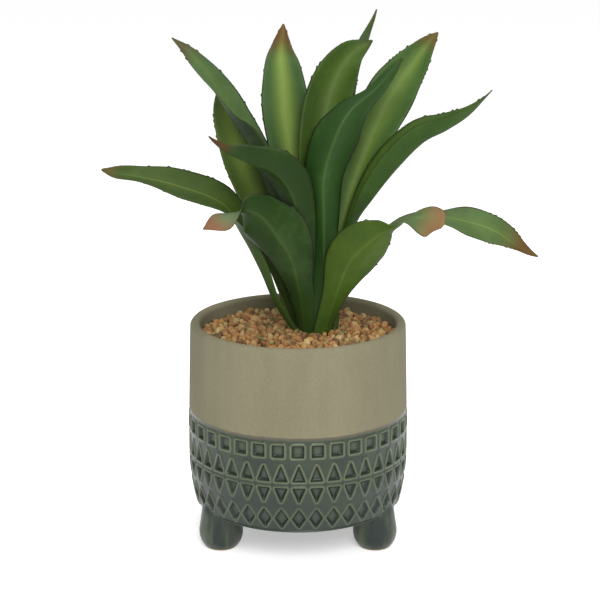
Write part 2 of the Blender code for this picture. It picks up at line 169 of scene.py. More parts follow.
# Leaves, as the frame has them: the way that each grows out from the stem, in degrees
# anticlockwise from +X, and stations along its midrib from foot to tip: (x, y, height, blade
# width, roll, fold). Roll turns the blade about its midrib, and fold lifts both its halves.
LEAF_SHAPES = {
    "leaf_left_low": (190, (
        (-3, -3, 119, 6, -20, 15), (-13, -5, 136, 9, 0, 35), (-20, -3, 152, 12, 0, 40),
        (-29, -2, 170, 18, 10, 35), (-41, -3, 188, 24, 30, 20), (-64, -5, 198, 23, 35, 15),
        (-83, -6, 203, 15, 30, 20), (-96, -4, 205, 10, 40, 15), (-105, -3, 207, 1, 50, 0),
    )),
    "leaf_left_back": (150, (
        (-3, 10, 119, 8, -5, 15), (-18, 17, 164, 17, 15, 15), (-25, 24, 188, 24, 25, 15),
        (-32, 30, 209, 27, 30, 15), (-38, 35, 227, 24, 25, 15), (-40, 39, 239, 16, 25, 10),
        (-41, 42, 251, 1, 25, 0),
    )),
    "leaf_left_high": (165, (
        (-1, 7, 119, 6, 0, 15), (-12, 9, 179, 18, -5, 40), (-18, 10, 199, 21, -10, 45),
        (-26, 13, 217, 27, -15, 40), (-35, 16, 231, 27, 0, 30), (-45, 18, 249, 20, 15, 20),
        (-57, 21, 265, 10, 30, 0), (-68, 24, 274, 1, 30, 0),
    )),
    "leaf_front_left": (235, (
        (4, -7, 119, 9, -10, 15), (1, -15, 142, 17, -30, 35), (-4, -20, 163, 31, -35, 35),
        (-11, -23, 175, 37, -40, 35), (-18, -26, 185, 33, -60, 40), (-26, -28, 190, 17, -65, 25),
        (-32, -30, 189, 12, -20, 0), (-40, -34, 186, 15, 15, -10), (-49, -38, 182, 1, 20, 0),
    )),
    "leaf_front_hood": (210, (
        (1, -2, 119, 7, -5, 15), (1, -8, 170, 19, -45, 35), (-1, -10, 188, 24, -50, 40),
        (-5, -12, 199, 28, -50, 40), (-12, -16, 208, 25, -50, 40), (-22, -21, 213, 20, -45, 45),
        (-30, -25, 217, 15, -35, 50), (-38, -27, 221, 8, -25, 50), (-46, -28, 229, 1, -25, 0),
    )),
    "leaf_back_upright": (95, (
        (5, 11, 119, 6, -15, 15), (4, 20, 159, 12, 5, 35), (0, 26, 186, 19, 5, 30),
        (-4, 30, 212, 27, 5, 30), (-7, 34, 236, 30, 5, 30), (-9, 37, 257, 22, 0, 25),
        (-9, 39, 268, 12, 5, 20), (-8, 40, 280, 1, 5, 0),
    )),
    "leaf_back_curled": (60, (
        (12, 9, 119, 7, 10, 15), (11, 12, 164, 13, -25, 30), (11, 15, 186, 20, -25, 30),
        (12, 21, 213, 28, -30, 30), (16, 28, 235, 30, -25, 30), (21, 34, 251, 27, -30, 30),
        (29, 38, 263, 18, -30, 30), (41, 40, 271, 1, -30, 0),
    )),
    "leaf_front_tall": (300, (
        (11, -5, 119, 9, 10, 15), (14, -3, 153, 14, 30, 25), (14, -3, 178, 20, 30, 35),
        (14, -3, 203, 28, 30, 40), (20, -3, 224, 32, 35, 40), (28, 0, 238, 25, 40, 45),
        (42, 7, 249, 13, 35, 50), (56, 16, 264, 1, 35, 0),
    )),
    "leaf_back_tallest": (75, (
        (6, 14, 119, 7, -25, 15), (15, 31, 171, 14, 0, 45), (23, 43, 209, 18, 20, 40),
        (29, 52, 235, 17, 15, 45), (35, 57, 258, 12, 35, 45), (39, 59, 269, 9, 40, 50),
        (44, 62, 286, 1, 40, 0),
    )),
    "leaf_right_back": (45, (
        (15, 10, 119, 7, 5, 15), (21, 17, 159, 11, -25, 30), (27, 23, 180, 15, -20, 35),
        (34, 30, 200, 21, -30, 35), (42, 37, 220, 30, -35, 35), (52, 44, 240, 31, -40, 30),
        (64, 50, 256, 22, -35, 30), (72, 53, 267, 11, -35, 25), (78, 54, 274, 1, -35, 0),
    )),
    "leaf_right_high": (5, (
        (17, 2, 119, 7, 10, 15), (25, 5, 155, 10, 0, 30), (31, 6, 176, 14, 0, 35),
        (41, 7, 191, 24, 0, 50), (53, 8, 206, 29, 0, 55), (67, 9, 220, 27, 0, 55),
        (80, 9, 227, 20, 0, 50), (92, 9, 235, 11, 0, 45), (104, 9, 248, 1, 0, 0),
    )),
    "leaf_front_right": (315, (
        (14, -8, 119, 11, 20, 15), (20, -12, 139, 15, 40, 20), (27, -15, 158, 28, 50, 20),
        (36, -18, 169, 28, 50, 20), (45, -21, 177, 16, 45, 15), (51, -23, 180, 6, 20, 5),
        (57, -26, 185, 9, -20, -5), (65, -29, 186, 18, -45, -15), (71, -32, 185, 17, -50, -15),
        (75, -36, 183, 3, -50, 0),
    )),
    "leaf_right_low": (350, (
        (21, 1, 119, 7, 0, 15), (24, 4, 138, 8, -15, 15), (37, 6, 158, 12, -10, 10),
        (51, 8, 173, 12, -5, 10), (63, 9, 179, 14, -10, -5), (78, 10, 178, 18, -10, 0),
        (93, 11, 175, 23, -30, 5), (108, 11, 170, 20, -35, 5), (121, 11, 161, 11, -30, 25),
        (132, 10, 156, 1, -30, 0),
    )),
    "leaf_back_low_left": (110, (
        (4, 17, 119, 8, 0, 15), (1, 23, 138, 14, 0, 25), (-4, 34, 160, 22, 0, 25),
        (-9, 48, 172, 22, 0, 20), (-14, 62, 172, 14, 0, 15), (-18, 72, 167, 1, 0, 0),
    )),
    "leaf_back_low_right": (55, (
        (17, 14, 119, 8, 0, 15), (22, 20, 135, 13, 0, 25), (28, 30, 148, 18, 0, 25),
        (35, 41, 153, 18, 0, 20), (41, 51, 150, 12, 0, 15), (46, 59, 144, 1, 0, 0),
    )),
}

# Looks of the leaves: (upper face, underside, tip) as 0 to 255 display colours, how far the rust
# of the tip reaches down the leaf, how pale the middle of the blade is painted as a glow of light
# through it, and how clear its midrib. The face colours hold painted light and shade: each leaf's
# green is given as lit where that leaf stands, and its underside is a darker copy with painted
# shade.
LEAF_LOOKS = {
    "leaf_left_low": ((52, 70, 19), (46, 66, 18), (80, 67, 29), 0.06, 0.05, 0.22),
    "leaf_left_back": ((74, 93, 40), (75, 90, 23), (80, 67, 29), 0.03, 0.35, 0.05),
    "leaf_left_high": ((69, 91, 51), (26, 46, 11), (71, 50, 31), 0.09, 0.10, 0.05),
    "leaf_front_left": ((91, 105, 76), (30, 52, 9), (125, 74, 48), 0.12, 0.05, 0.06),
    "leaf_front_hood": ((64, 83, 42), (28, 50, 8), (78, 44, 22), 0.10, 0.05, 0.06),
    "leaf_back_upright": ((64, 88, 49), (46, 70, 28), (93, 50, 24), 0.10, 0.75, 0.00),
    "leaf_back_curled": ((53, 75, 20), (46, 70, 18), (54, 63, 22), 0.02, 0.15, 0.03),
    "leaf_front_tall": ((42, 67, 25), (35, 64, 20), (44, 54, 19), 0.02, 0.05, 0.08),
    "leaf_back_tallest": ((64, 83, 43), (58, 79, 37), (73, 67, 34), 0.04, 0.05, 0.05),
    "leaf_right_back": ((64, 90, 42), (46, 71, 28), (89, 63, 27), 0.06, 0.40, 0.05),
    "leaf_right_high": ((55, 79, 18), (42, 68, 11), (67, 50, 22), 0.04, 0.08, 0.02),
    "leaf_front_right": ((78, 97, 55), (58, 79, 15), (128, 89, 60), 0.12, 0.06, 0.10),
    "leaf_right_low": ((73, 95, 51), (56, 79, 33), (91, 50, 22), 0.15, 0.10, 0.30),
    "leaf_back_low_left": ((51, 73, 25), (46, 70, 20), (80, 63, 29), 0.08, 0.10, 0.08),
    "leaf_back_low_right": ((55, 76, 27), (48, 71, 23), (80, 63, 29), 0.08, 0.10, 0.08),
}
# Blades: BURIED is how far a leaf goes on under its first station. A blade keeps EDGE_THIN less of
# its thickness at its margin, and FOOT_THICK more at its foot. A keel KEEL deep runs underneath,
# and the margins wave by up to CURL over each CURL_LENGTH.
BURIED = 4.0
CREASE_SOFTNESS = 0.35
TANGENT_REACH = 0.05
LENGTH_STEPS = 16
LEAST_WIDTH = 0.6
EDGE_THIN = 0.72
FOOT_THICK = 0.9
TIP_THICKNESS = 0.45
KEEL = 0.5
KEEL_WIDTH = 0.16
CURL = 0.35
CURL_LENGTH = 14.0
TOOTH_SHARE = 0.2
STUB_TOOTH = 0.12
TOOTH_SIZES = (0.6, 1.3)
MARGIN_SIDE = 0.999

# Fixed colours, as 0 to 255 display values, but for the specks in the clay, which are linear.
CLAY_SPECKS = ((0.1, 0.1, 0.07), (0.6, 0.58, 0.42))
GLAZE_EDGE = (84, 77, 60)
GRAVEL_TONES = (
    (0.0, (64, 44, 20)), (0.14, (118, 78, 34)), (0.32, (142, 96, 44)), (0.5, (150, 100, 52)),
    (0.66, (160, 124, 70)), (0.8, (180, 156, 108)), (0.9, (98, 94, 44)), (1.0, (88, 50, 24)),
)
GRAVEL_BLOOM = (180, 144, 92)
GRAVEL_SHADE = (74, 44, 22)
COMPOST_TONES = ((40, 28, 18), (84, 62, 42))
SHEATH_TONES = ((58, 72, 34), (104, 108, 62))
LEAF_SHADE = (26, 44, 22)
LEAF_BLOOM = (110, 132, 90)
LEAF_FOOT = (60, 84, 36)

# Gravel: (share of the bed's radius, drop below the mound's top) out to its edge, the lifts of its
# two layers of grains, and the pebbles that they are picked from, whose points wind round by
# GOLDEN_TURN radians at a time.
BED_PROFILE = ((0.0, 2.2), (0.4, 2.5), (0.75, 3.1))
BED_EDGE_DROPS = (3.7, 4.0)
BED_EDGE_WIDTH = 1.6
BED_STEPS = 96
LAYER_LIFTS = (-0.6, 0.9)
GRAIN_SIZES = (0.62, 1.18)
PEBBLE_COUNT = 7
PEBBLE_SEED = 40
PEBBLE_POINTS = 26
GOLDEN_TURN = 2.4

# Stage: places are from the middle of the plant, in metres; the camera aims at AIM, in millimetres.
FLOOR_HALF = 9.0
FLOOR_GLOW = 0.38
STAGE_MIDDLE = 0.13
KEY_PLACE, KEY_SIZE = Vector((0.15, -1.1, 0.75)), 0.7
TOP_PLACE, TOP_SIZE, TOP_SHARE = Vector((0.1, 0.1, 1.2)), 0.9, 0.6
LENS = 98.6
AIM = (1.1, 134.0)


def display(red, green, blue):
    """The linear colour of three 0 to 255 display values."""
    levels = [value / 255.0 for value in (red, green, blue)]
    return tuple(v / 12.92 if v <= 0.04045 else ((v + 0.055) / 1.055) ** 2.4 for v in levels)


def colour_property(name, description, red, green, blue):
    """A colour that a user may change."""
    return bpy.props.FloatVectorProperty(
        name=name, description=description, default=display(red, green, blue),
        size=3, min=0.0, max=1.0, subtype="COLOR",
    )


def length_property(name, description, millimetres):
    """A length that a user may change."""
    return bpy.props.FloatProperty(
        name=name, description=description, default=millimetres * MM, precision=5, unit="LENGTH"
    )


class AgavePotSettings(bpy.types.PropertyGroup):
    recess: length_property("Recess", "How deep the shapes are pressed into the wall", 1.6)
    ridge: length_property("Ridge", "How far the edge of a shape stands above the wall", 0.35)
    ridge_width: length_property("Ridge Width", "Width of the raised edge of a shape", 0.85)
    glaze_line: length_property("Glaze Line", "Height that the glaze reaches up the wall", 75.2)
    bisque: colour_property("Bisque", "Bare stoneware of the upper wall", 109, 104, 81)
    bisque_dark: colour_property("Bisque Shade", "Mottling of the bare stoneware", 101, 96, 73)
    glaze: colour_property("Glaze", "Glaze on the plain ground", 43, 55, 40)
    glaze_thin: colour_property("Thin Glaze", "Glaze broken thin over the ridges", 90, 98, 72)
    glaze_pool: colour_property("Pooled Glaze", "Glaze pooled in the recesses", 56, 67, 48)
    glaze_deep: colour_property("Deep Glaze", "Glaze in the corners and on the feet", 15, 29, 25)
    raw_foot: colour_property("Raw Foot", "Unglazed ring that the pot stands on", 112, 98, 68)


class AgaveGravelSettings(bpy.types.PropertyGroup):
    grain: length_property("Grain", "Width of a middling grain", 6.3)
    spacing: length_property("Spacing", "Least distance between the grains of a layer", 3.7)
    dust: colour_property("Dust", "Compost and fines between the grains", 50, 34, 18)
    seed: bpy.props.IntProperty(name="Seed", description="Arrangement of the grains", default=7)


class AgaveLeafSettings(bpy.types.PropertyGroup):
    thickness: length_property("Thickness", "Thickness of a blade at its midrib", 1.3)
    rib_spacing: length_property("Rib Spacing", "Length of midrib between two cross sections", 1.3)
    tooth: length_property("Tooth", "How far a tooth stands out from the margin", 0.6)
    panels: bpy.props.IntProperty(name="Panels", description="Faces across a blade", default=16)
    margin: colour_property("Margin", "Horny edge of a blade", 50, 42, 30)
    # Glow is painted light through the middle of a blade; the fibres and midrib are drawn in it
    # too.
    glow: colour_property("Glow", "Pale tissue in the middle of a blade", 122, 144, 62)


class AgaveStageSettings(bpy.types.PropertyGroup):
    floor: colour_property("Floor", "Plain pale floor", 250, 250, 250)
    sky: bpy.props.FloatProperty(name="Sky", description="Even light from all round", default=0.62)
    key: bpy.props.FloatProperty(
        name="Key", description="Power of the large soft front light", default=13.0,
    )
    distance: length_property("Camera Distance", "From the camera to the pot's axis", 900.0)
    elevation: bpy.props.FloatProperty(
        name="Elevation", description="Camera's angle above the horizon",
        default=math.radians(15.0), subtype="ANGLE",
    )


class Signal:
    """A number, vector or colour inside a node tree, for use in ordinary expressions."""

    def __init__(self, nodes, socket):
        self.nodes = nodes
        self.socket = socket

    def maths(self, operation, first, second=0.0, clamp=False):
        """One Math node, for the operators below."""
        settings = {"operation": operation, "use_clamp": clamp}
        return self.nodes.add("ShaderNodeMath", settings, {0: first, 1: second})

    def __add__(self, other):
        return self.maths("ADD", self, other)

    def __sub__(self, other):
        return self.maths("SUBTRACT", self, other)

    def __rsub__(self, other):
        return self.maths("SUBTRACT", other, self)

    def __mul__(self, other):
        return self.maths("MULTIPLY", self, other)

    def __truediv__(self, other):
        return self.maths("DIVIDE", self, other)

    def __abs__(self):
        return self.maths("ABSOLUTE", self)

    __radd__ = __add__
    __rmul__ = __mul__

    def clamped(self):
        """The same number, held between 0 and 1."""
        return self.maths("ADD", self, 0.0, clamp=True)

    def rise(self, low, high):
        """0 below low and 1 above high, with a soft step between them."""
        settings = {"interpolation_type": "SMOOTHSTEP"}
        sockets = {0: self, 1: low, 2: high, 3: 0.0, 4: 1.0}
        return self.nodes.add("ShaderNodeMapRange", settings, sockets)


class Nodes:
    """A node tree with one way to add a node: its type, its settings, then its sockets."""

    def __init__(self, tree):
        self.tree = tree

    def add(self, kind, settings=None, sockets=None, output=0):
        """Add a node, and give the signal of one of its outputs."""
        node = self.tree.nodes.new(kind)
        for name, value in (settings or {}).items():
            if name == "stops":
                self.set_stops(node.color_ramp, value)
            else:
                setattr(node, name, value)
        for key, value in (sockets or {}).items():
            socket = node.inputs[key]
            if isinstance(value, Signal):
                self.tree.links.new(value.socket, socket)
            elif socket.type == "RGBA":
                socket.default_value = (*value[:3], 1.0)
            else:
                socket.default_value = value
        return Signal(self, node.outputs[output])

    @staticmethod
    def set_stops(ramp, stops):
        while len(ramp.elements) < len(stops):
            ramp.elements.new(0.5)
        for element, (place, colour) in zip(ramp.elements, stops):
            element.position = place
            element.color = (*colour, 1.0)


class Finish(Nodes):
    """A material, made by adding nodes in front of its Principled shader."""

    def __init__(self, name):
        self.material = bpy.data.materials.new(name)
        self.material.use_nodes = True
        super().__init__(self.material.node_tree)
        self.shader = self.tree.nodes["Principled BSDF"]
        self.place = self.add("ShaderNodeTexCoord", output="Object")

    def stretched(self, x, y, z):
        """The surface's own place, with a pattern's frequency (per metre) along each axis."""
        settings = {"operation": "MULTIPLY"}
        return self.add("ShaderNodeVectorMath", settings, {0: self.place, 1: (x, y, z)})

    def height(self):
        """Height above the table, in millimetres."""
        return self.add("ShaderNodeSeparateXYZ", sockets={0: self.place}, output="Z") / MM

    def noise(self, vector, scale=1.0, detail=2.0, roughness=0.5):
        sockets = {"Vector": vector, "Scale": scale, "Detail": detail, "Roughness": roughness}
        return self.add("ShaderNodeTexNoise", sockets=sockets)

    def mix(self, factor, first, second, blend="MIX"):
        settings = {"data_type": "RGBA", "blend_type": blend}
        return self.add("ShaderNodeMix", settings, {0: factor, 6: first, 7: second}, 2)

    def number(self, name):
        """A number that the mesh keeps for each of its points."""
        return self.add("ShaderNodeAttribute", {"attribute_name": name}, output="Fac")

    def bump(self, height, distance, strength=1.0):
        sockets = {"Strength": strength, "Distance": distance, "Height": height}
        return self.add("ShaderNodeBump", sockets=sockets)

    def set(self, **sockets):
        """Link or set the shader's own sockets, named with underscores for spaces."""
        for name, value in sockets.items():
            socket = self.shader.inputs[name.replace("_", " ")]
            if isinstance(value, Signal):
                self.tree.links.new(value.socket, socket)
            else:
                socket.default_value = value
        return self.material


def new_object(name, mesh):
    """A mesh as an object in the scene, at the origin."""
    made = bpy.data.objects.new(name, mesh)
    bpy.context.scene.collection.objects.link(made)
    return made


def finish_piece(piece, slot, *nodes):
    """Put a finished piece on the fixed frame in the place of its plain solids."""
    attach(piece, "root")
    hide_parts(*nodes)
    return piece


def write_numbers(mesh, name, values):
    """Keep one number for each point of a mesh, for its material to read."""
    attribute = mesh.attributes.new(name, "FLOAT", "POINT")
    attribute.data.foreach_set("value", values)


def evaluated_mesh(made, name):
    """What an object's modifiers make of it, as a plain mesh."""
    graph = bpy.context.evaluated_depsgraph_get()
    mesh = bpy.data.meshes.new_from_object(made.evaluated_get(graph))
    mesh.name = name
    return mesh


def geometry_tree(name, inputs):
    """An empty Geometry Nodes tree with named inputs: its nodes, and a signal for each input."""
    tree = bpy.data.node_groups.new(name, "GeometryNodeTree")
    tree.interface.new_socket("Geometry", in_out="INPUT", socket_type="NodeSocketGeometry")
    tree.interface.new_socket("Geometry", in_out="OUTPUT", socket_type="NodeSocketGeometry")
    for label, kind in inputs.items():
        tree.interface.new_socket(label, in_out="INPUT", socket_type=kind)
    nodes = Nodes(tree)
    source = tree.nodes.new("NodeGroupInput")
    signals = {socket.name: Signal(nodes, socket) for socket in source.outputs if socket.name}
    return nodes, signals


def run_geometry_tree(made, nodes, result, values, name):
    """Give a tree its output and its input values, and take the mesh that it makes."""
    output = nodes.tree.nodes.new("NodeGroupOutput")
    nodes.tree.links.new(result.socket, output.inputs[0])
    modifier = made.modifiers.new(nodes.tree.name, "NODES")
    modifier.node_group = nodes.tree
    for item in nodes.tree.interface.items_tree:
        if item.in_out == "INPUT" and item.name in values:
            modifier[item.identifier] = values[item.name]
    return evaluated_mesh(made, name)


def outward_faces(mesh):
    """Turn every face of a closed mesh outwards."""
    made = bmesh.new()
    made.from_mesh(mesh)
    bmesh.ops.recalc_face_normals(made, faces=made.faces)
    made.to_mesh(mesh)
    made.free()


def smooth_stations(stations, steps):
    """Stations with steps - 1 more between each two, on a smooth curve through them all."""
    count = (len(stations) - 1) * steps
    return [between(stations, index / steps) for index in range(count + 1)]


def between(stations, place):
    """The station at a place from 0 to len(stations) - 1, on a smooth curve through them all."""
    index = min(int(place), len(stations) - 2)
    part = place - index
    start, end = stations[index], stations[index + 1]
    before = stations[index - 1] if index else [2 * a - b for a, b in zip(start, end)]
    last = index + 2 == len(stations)
    after = [2 * b - a for a, b in zip(start, end)] if last else stations[index + 2]
    blended = []
    for a, b, c, d in zip(before, start, end, after):
        slope = c - a
        bend = 2 * a - 5 * b + 4 * c - d
        twist = 3 * b - a - 3 * c + d
        blended.append(b + 0.5 * part * (slope + part * (bend + part * twist)))
    return blended


def wall_radius(height):
    """Outside radius of the wall, in millimetres, without its pattern."""
    if height >= BELLY_TOP:
        lean = max(0.0, height - PATTERN_TOP) / (POT_HEIGHT - PATTERN_TOP)
        return POT_RADIUS - WALL_LEAN * lean
    below = (BELLY_TOP - height) / (BELLY_TOP - UNDERSIDE)
    return POT_RADIUS - TUCK * below ** TUCK_BEND


def outline_distance(outline, point):
    """Distance from a point to a closed outline, negative inside it."""
    nearest = math.inf
    inside = True
    for start, end in zip(outline, outline[1:] + outline[:1]):
        edge = end - start
        reach = max(0.0, min(1.0, (point - start).dot(edge) / edge.length_squared))
        nearest = min(nearest, (point - start - edge * reach).length)
        if edge.x * (point.y - start.y) - edge.y * (point.x - start.x) < 0.0:
            inside = False
    return -nearest if inside else nearest


def soft_step(value, low, high):
    """0 at low and below, 1 at high and above, with a soft step between them."""
    part = max(0.0, min(1.0, (value - low) / (high - low)))
    return part * part * (3.0 - 2.0 * part)


def boundary_points(count, low, high):
    """Points round the edge of a cell, which match those of its neighbours."""
    pitch = 2.0 * math.pi * POT_RADIUS / count
    half = 0.5 * pitch
    points = []
    across_steps = ROUND_POINTS // count
    for step in range(across_steps):
        points.append(Vector((-half + pitch * step / across_steps, low)))
        points.append(Vector((half - pitch * step / across_steps, high)))
    up_steps = round((high - low) / ROW_STEP)
    for step in range(up_steps):
        points.append(Vector((half, low + (high - low) * step / up_steps)))
        points.append(Vector((-half, high - (high - low) * step / up_steps)))
    return points


def contour_points(shape, ridge_width):
    """Points on lines that follow a shape at set distances from its edge."""
    points = []
    for offset in CONTOURS + tuple(offset + ridge_width for offset in OUTER_CONTOURS):
        wanted = offset + ROUNDING
        for start, end in zip(shape, shape[1:] + shape[:1]):
            edge = end - start
            normal = Vector((edge.y, -edge.x)).normalized()
            steps = max(2, round(edge.length / LINE_STEP))
            line = [start.lerp(end, step / steps) + normal * wanted for step in range(steps + 1)]
            turn = math.atan2(normal.y, normal.x)
            line += [
                end + Vector((math.cos(turn + a), math.sin(turn + a))) * wanted
                for a in CORNER_TURNS
            ]
            for place in line:
                if abs(outline_distance(shape, place) - wanted) < CONTOUR_TOLERANCE:
                    points.append(place)
    return points


def ground_points(shape, ridge_width, pitch, low, high):
    """Points over the rest of a cell: the plain ground and the floor of the shape."""
    points = []
    reach = GROUND_COLUMNS // 2
    for row in range(1, int(high - low)):
        for column in range(-reach, reach + 1):
            place = Vector((column * pitch / GROUND_COLUMNS, low + row + 0.4 * (column % 2)))
            away = outline_distance(shape, place) - ROUNDING
            if away < -GROUND_MARGIN or away > GROUND_MARGIN + ridge_width:
                points.append(place)
    return points


def relief(away, settings):
    """Ridge, pool and rise above the wall at a distance from a shape's edge, negative inside."""
    ridge_width = settings.ridge_width / MM
    outer = 1.0 - soft_step(away, ridge_width + RIDGE_FALL[0], ridge_width + RIDGE_FALL[1])
    ridge = soft_step(away, *RIDGE_RISE) * outer
    floor = 1.0 - soft_step(away, *RECESS_DROP)
    pool = 1.0 - soft_step(away, *POOL_EDGE) if away < 0.0 else 0.0
    rise = -GROUND_SINK + ridge * (settings.ridge / MM + GROUND_SINK)
    rise -= floor * (settings.recess / MM - GROUND_SINK)
    return ridge, pool, rise


def pressed_cell(name, settings, count, low, high, outline):
    """One cell of a row: a patch of the curved wall with one shape pressed into it."""
    pitch = 2.0 * math.pi * POT_RADIUS / count
    half = 0.5 * pitch
    shape = [Vector(corner) for corner in outline]
    ridge_width = settings.ridge_width / MM
    kept = boundary_points(count, low, high)
    inner = contour_points(shape, ridge_width)
    inner += ground_points(shape, ridge_width, pitch, low, high)
    for place in inner:
        from_edge = min(half - abs(place.x), place.y - low, high - place.y)
        if from_edge >= EDGE_MARGIN and min((place - other).length for other in kept) > LEAST_GAP:
            kept.append(place)
    flat = geometry.delaunay_2d_cdt(kept, [], [], 0, 0.0001)
    # A cell with an odd count of steps is turned by half a step, to meet the others' points.
    shift = math.pi / ROUND_POINTS * (ROUND_POINTS // count % 2)
    corners, ridges, pools, recesses = [], [], [], []
    for place in flat[0]:
        away = min(
            outline_distance(shape, Vector((place.x + side, place.y))) - ROUNDING
            for side in (-pitch, 0.0, pitch)
        )
        ridge, pool, rise = relief(away, settings)
        radius = wall_radius(place.y) + rise
        angle = place.x / POT_RADIUS + shift
        corners.append(Vector((radius * math.cos(angle), radius * math.sin(angle), place.y)) * MM)
        ridges.append(ridge)
        pools.append(pool)
        recesses.append(1.0 if pool > 0.0 or ridge > 0.5 else 0.0)
    mesh = bpy.data.meshes.new(name)
    mesh.from_pydata(corners, [], flat[2])
    mesh.shade_smooth()
    write_numbers(mesh, "ridge", ridges)
    write_numbers(mesh, "pool", pools)
    write_numbers(mesh, "recess", recesses)
    cell = new_object(name, mesh)
    cell.hide_render = True
    return cell


def arc(centre_x, centre_z, radius, start, end, steps):
    """Points of a round stretch of a profile, from start to end in degrees."""
    turns = [math.radians(start + (end - start) * step / steps) for step in range(steps + 1)]
    return [(centre_x + radius * math.cos(t), centre_z + radius * math.sin(t)) for t in turns]


def turned_mesh(name, profiles, steps):
    """Surfaces turned round Z from (radius, height) profiles, outside to the right of each."""
    made = bmesh.new()
    for profile in profiles:
        rows = []
        for radius, height in profile:
            if radius == 0.0:
                rows.append([made.verts.new((0.0, 0.0, height * MM))] * steps)
                continue
            turns = [2.0 * math.pi * step / steps for step in range(steps)]
            rows.append([
                made.verts.new(Vector((radius * math.cos(t), radius * math.sin(t), height)) * MM)
                for t in turns
            ])
        for row, following in zip(rows, rows[1:]):
            for step in range(steps):
                after = (step + 1) % steps
                ring = [row[step], row[after], following[after], following[step]]
                made.faces.new(list(dict.fromkeys(ring)))
    mesh = bpy.data.meshes.new(name)
    made.to_mesh(mesh)
    made.free()
    mesh.shade_smooth()
    return mesh


def bowl_profiles():
    """The bowl above its pattern, inside to outside, and below it, pattern to underside."""
    inner = BORE_RADIUS
    rim_radius = POT_RADIUS - WALL_LEAN
    corner = arc(
        inner - FLOOR_CORNER, FLOOR_TOP + FLOOR_CORNER, FLOOR_CORNER, -90.0, 0.0, CORNER_STEPS
    )
    rim_middle = POT_HEIGHT - RIM_ROUND
    rim = arc(inner + RIM_ROUND, rim_middle, RIM_ROUND, 180.0, 90.0, RIM_STEPS)
    rim += arc(rim_radius - RIM_ROUND, rim_middle, RIM_ROUND, 90.0, 0.0, RIM_STEPS)
    bore = [(inner, height) for height in BORE_HEIGHTS]
    wall = [(wall_radius(height), height) for height in WALL_HEIGHTS]
    lip = [(wall_radius(height) - step, height) for height, step in STEP_IN]
    edge = wall_radius(PATTERN_FOOT) - GROUND_SINK
    foot = [(edge + out, height) for out, height in BEAD]
    foot += [(ring, UNDERSIDE) for ring in UNDERSIDE_RINGS]
    upper = [(0.0, FLOOR_TOP), (20.0, FLOOR_TOP)] + corner + bore + rim + wall + lip
    return upper, foot


def pattern_rows(body, cells):
    """The turned body with every row of cells instanced round it and welded on."""
    inputs = {"Weld Distance": "NodeSocketFloat"}
    for row in ROWS:
        inputs[f"{row} cell"] = "NodeSocketObject"
        inputs[f"{row} count"] = "NodeSocketInt"
    nodes, signals = geometry_tree("pot_pattern", inputs)
    joined = nodes.tree.nodes.new("GeometryNodeJoinGeometry")
    nodes.tree.links.new(signals["Geometry"].socket, joined.inputs[0])
    values = {"Weld Distance": WELD}
    for row, cell in cells.items():
        count = signals[f"{row} count"]
        shown = nodes.add(
            "GeometryNodeObjectInfo", sockets={"Object": signals[f"{row} cell"]}, output="Geometry"
        )
        line = nodes.add("GeometryNodeMeshLine", sockets={
            "Count": count, "Offset": (0.0, 0.0, 0.0),
        })
        turn = nodes.add("GeometryNodeInputIndex") * (2.0 * math.pi) / count
        around = nodes.add("ShaderNodeCombineXYZ", sockets={"Z": turn})
        placed = nodes.add("GeometryNodeInstanceOnPoints", sockets={
            "Points": line, "Instance": shown, "Rotation": around,
        })
        nodes.tree.links.new(placed.socket, joined.inputs[0])
        values[f"{row} cell"] = cell
        values[f"{row} count"] = ROWS[row][0]
    plain = nodes.add("GeometryNodeRealizeInstances", sockets={0: Signal(nodes, joined.outputs[0])})
    welded = nodes.add("GeometryNodeMergeByDistance", sockets={
        "Geometry": plain, "Distance": signals["Weld Distance"],
    })
    finished = nodes.add("GeometryNodeSetMaterial", sockets={
        "Geometry": welded, "Material": body.data.materials[0],
    })
    return run_geometry_tree(body, nodes, finished, values, "pot_body")


def foot_centre(angle):
    """Where the axis of the foot at an angle meets the table, in millimetres."""
    turn = math.radians(angle)
    return Vector((math.cos(turn), math.sin(turn), 0.0)) * FOOT_CIRCLE


def foot_radius(height):
    """Radius of a foot at a height, from its profile."""
    for (wide, top), (wider, bottom) in zip(FOOT_PROFILE, FOOT_PROFILE[1:]):
        if bottom <= height <= top and top > bottom:
            return wide + (wider - wide) * (top - height) / (top - bottom)
    return 0.0


def blend_feet(mesh):
    """Soften the crease where each foot runs into the bowl, as a thick glaze does."""
    made = bmesh.new()
    made.from_mesh(mesh)
    edge = wall_radius(UNDERSIDE)
    weights = {}
    for vertex in made.verts:
        place = vertex.co / MM
        if not BLEND_HEIGHTS[0] <= place.z <= BLEND_HEIGHTS[1]:
            continue
        radius = math.hypot(place.x, place.y)
        if radius < edge or place.z <= UNDERSIDE:
            off_bowl = abs(place.z - UNDERSIDE)
        else:
            off_bowl = abs(radius - wall_radius(place.z))
        for angle in FOOT_ANGLES:
            off_axis = (place - foot_centre(angle)).xy.length
            off_foot = abs(off_axis - foot_radius(place.z))
            near = 1.0 - soft_step(max(off_bowl, off_foot), *BLEND_REACH)
            if near > 0.0:
                weights[vertex] = near
    for _ in range(BLEND_ROUNDS):
        moves = {}
        for vertex, weight in weights.items():
            others = [link.other_vert(vertex).co for link in vertex.link_edges]
            middle = sum(others, Vector()) / len(others)
            moves[vertex] = vertex.co.lerp(middle, 0.5 * weight)
        for vertex, place in moves.items():
            vertex.co = place
    made.to_mesh(mesh)
    made.free()


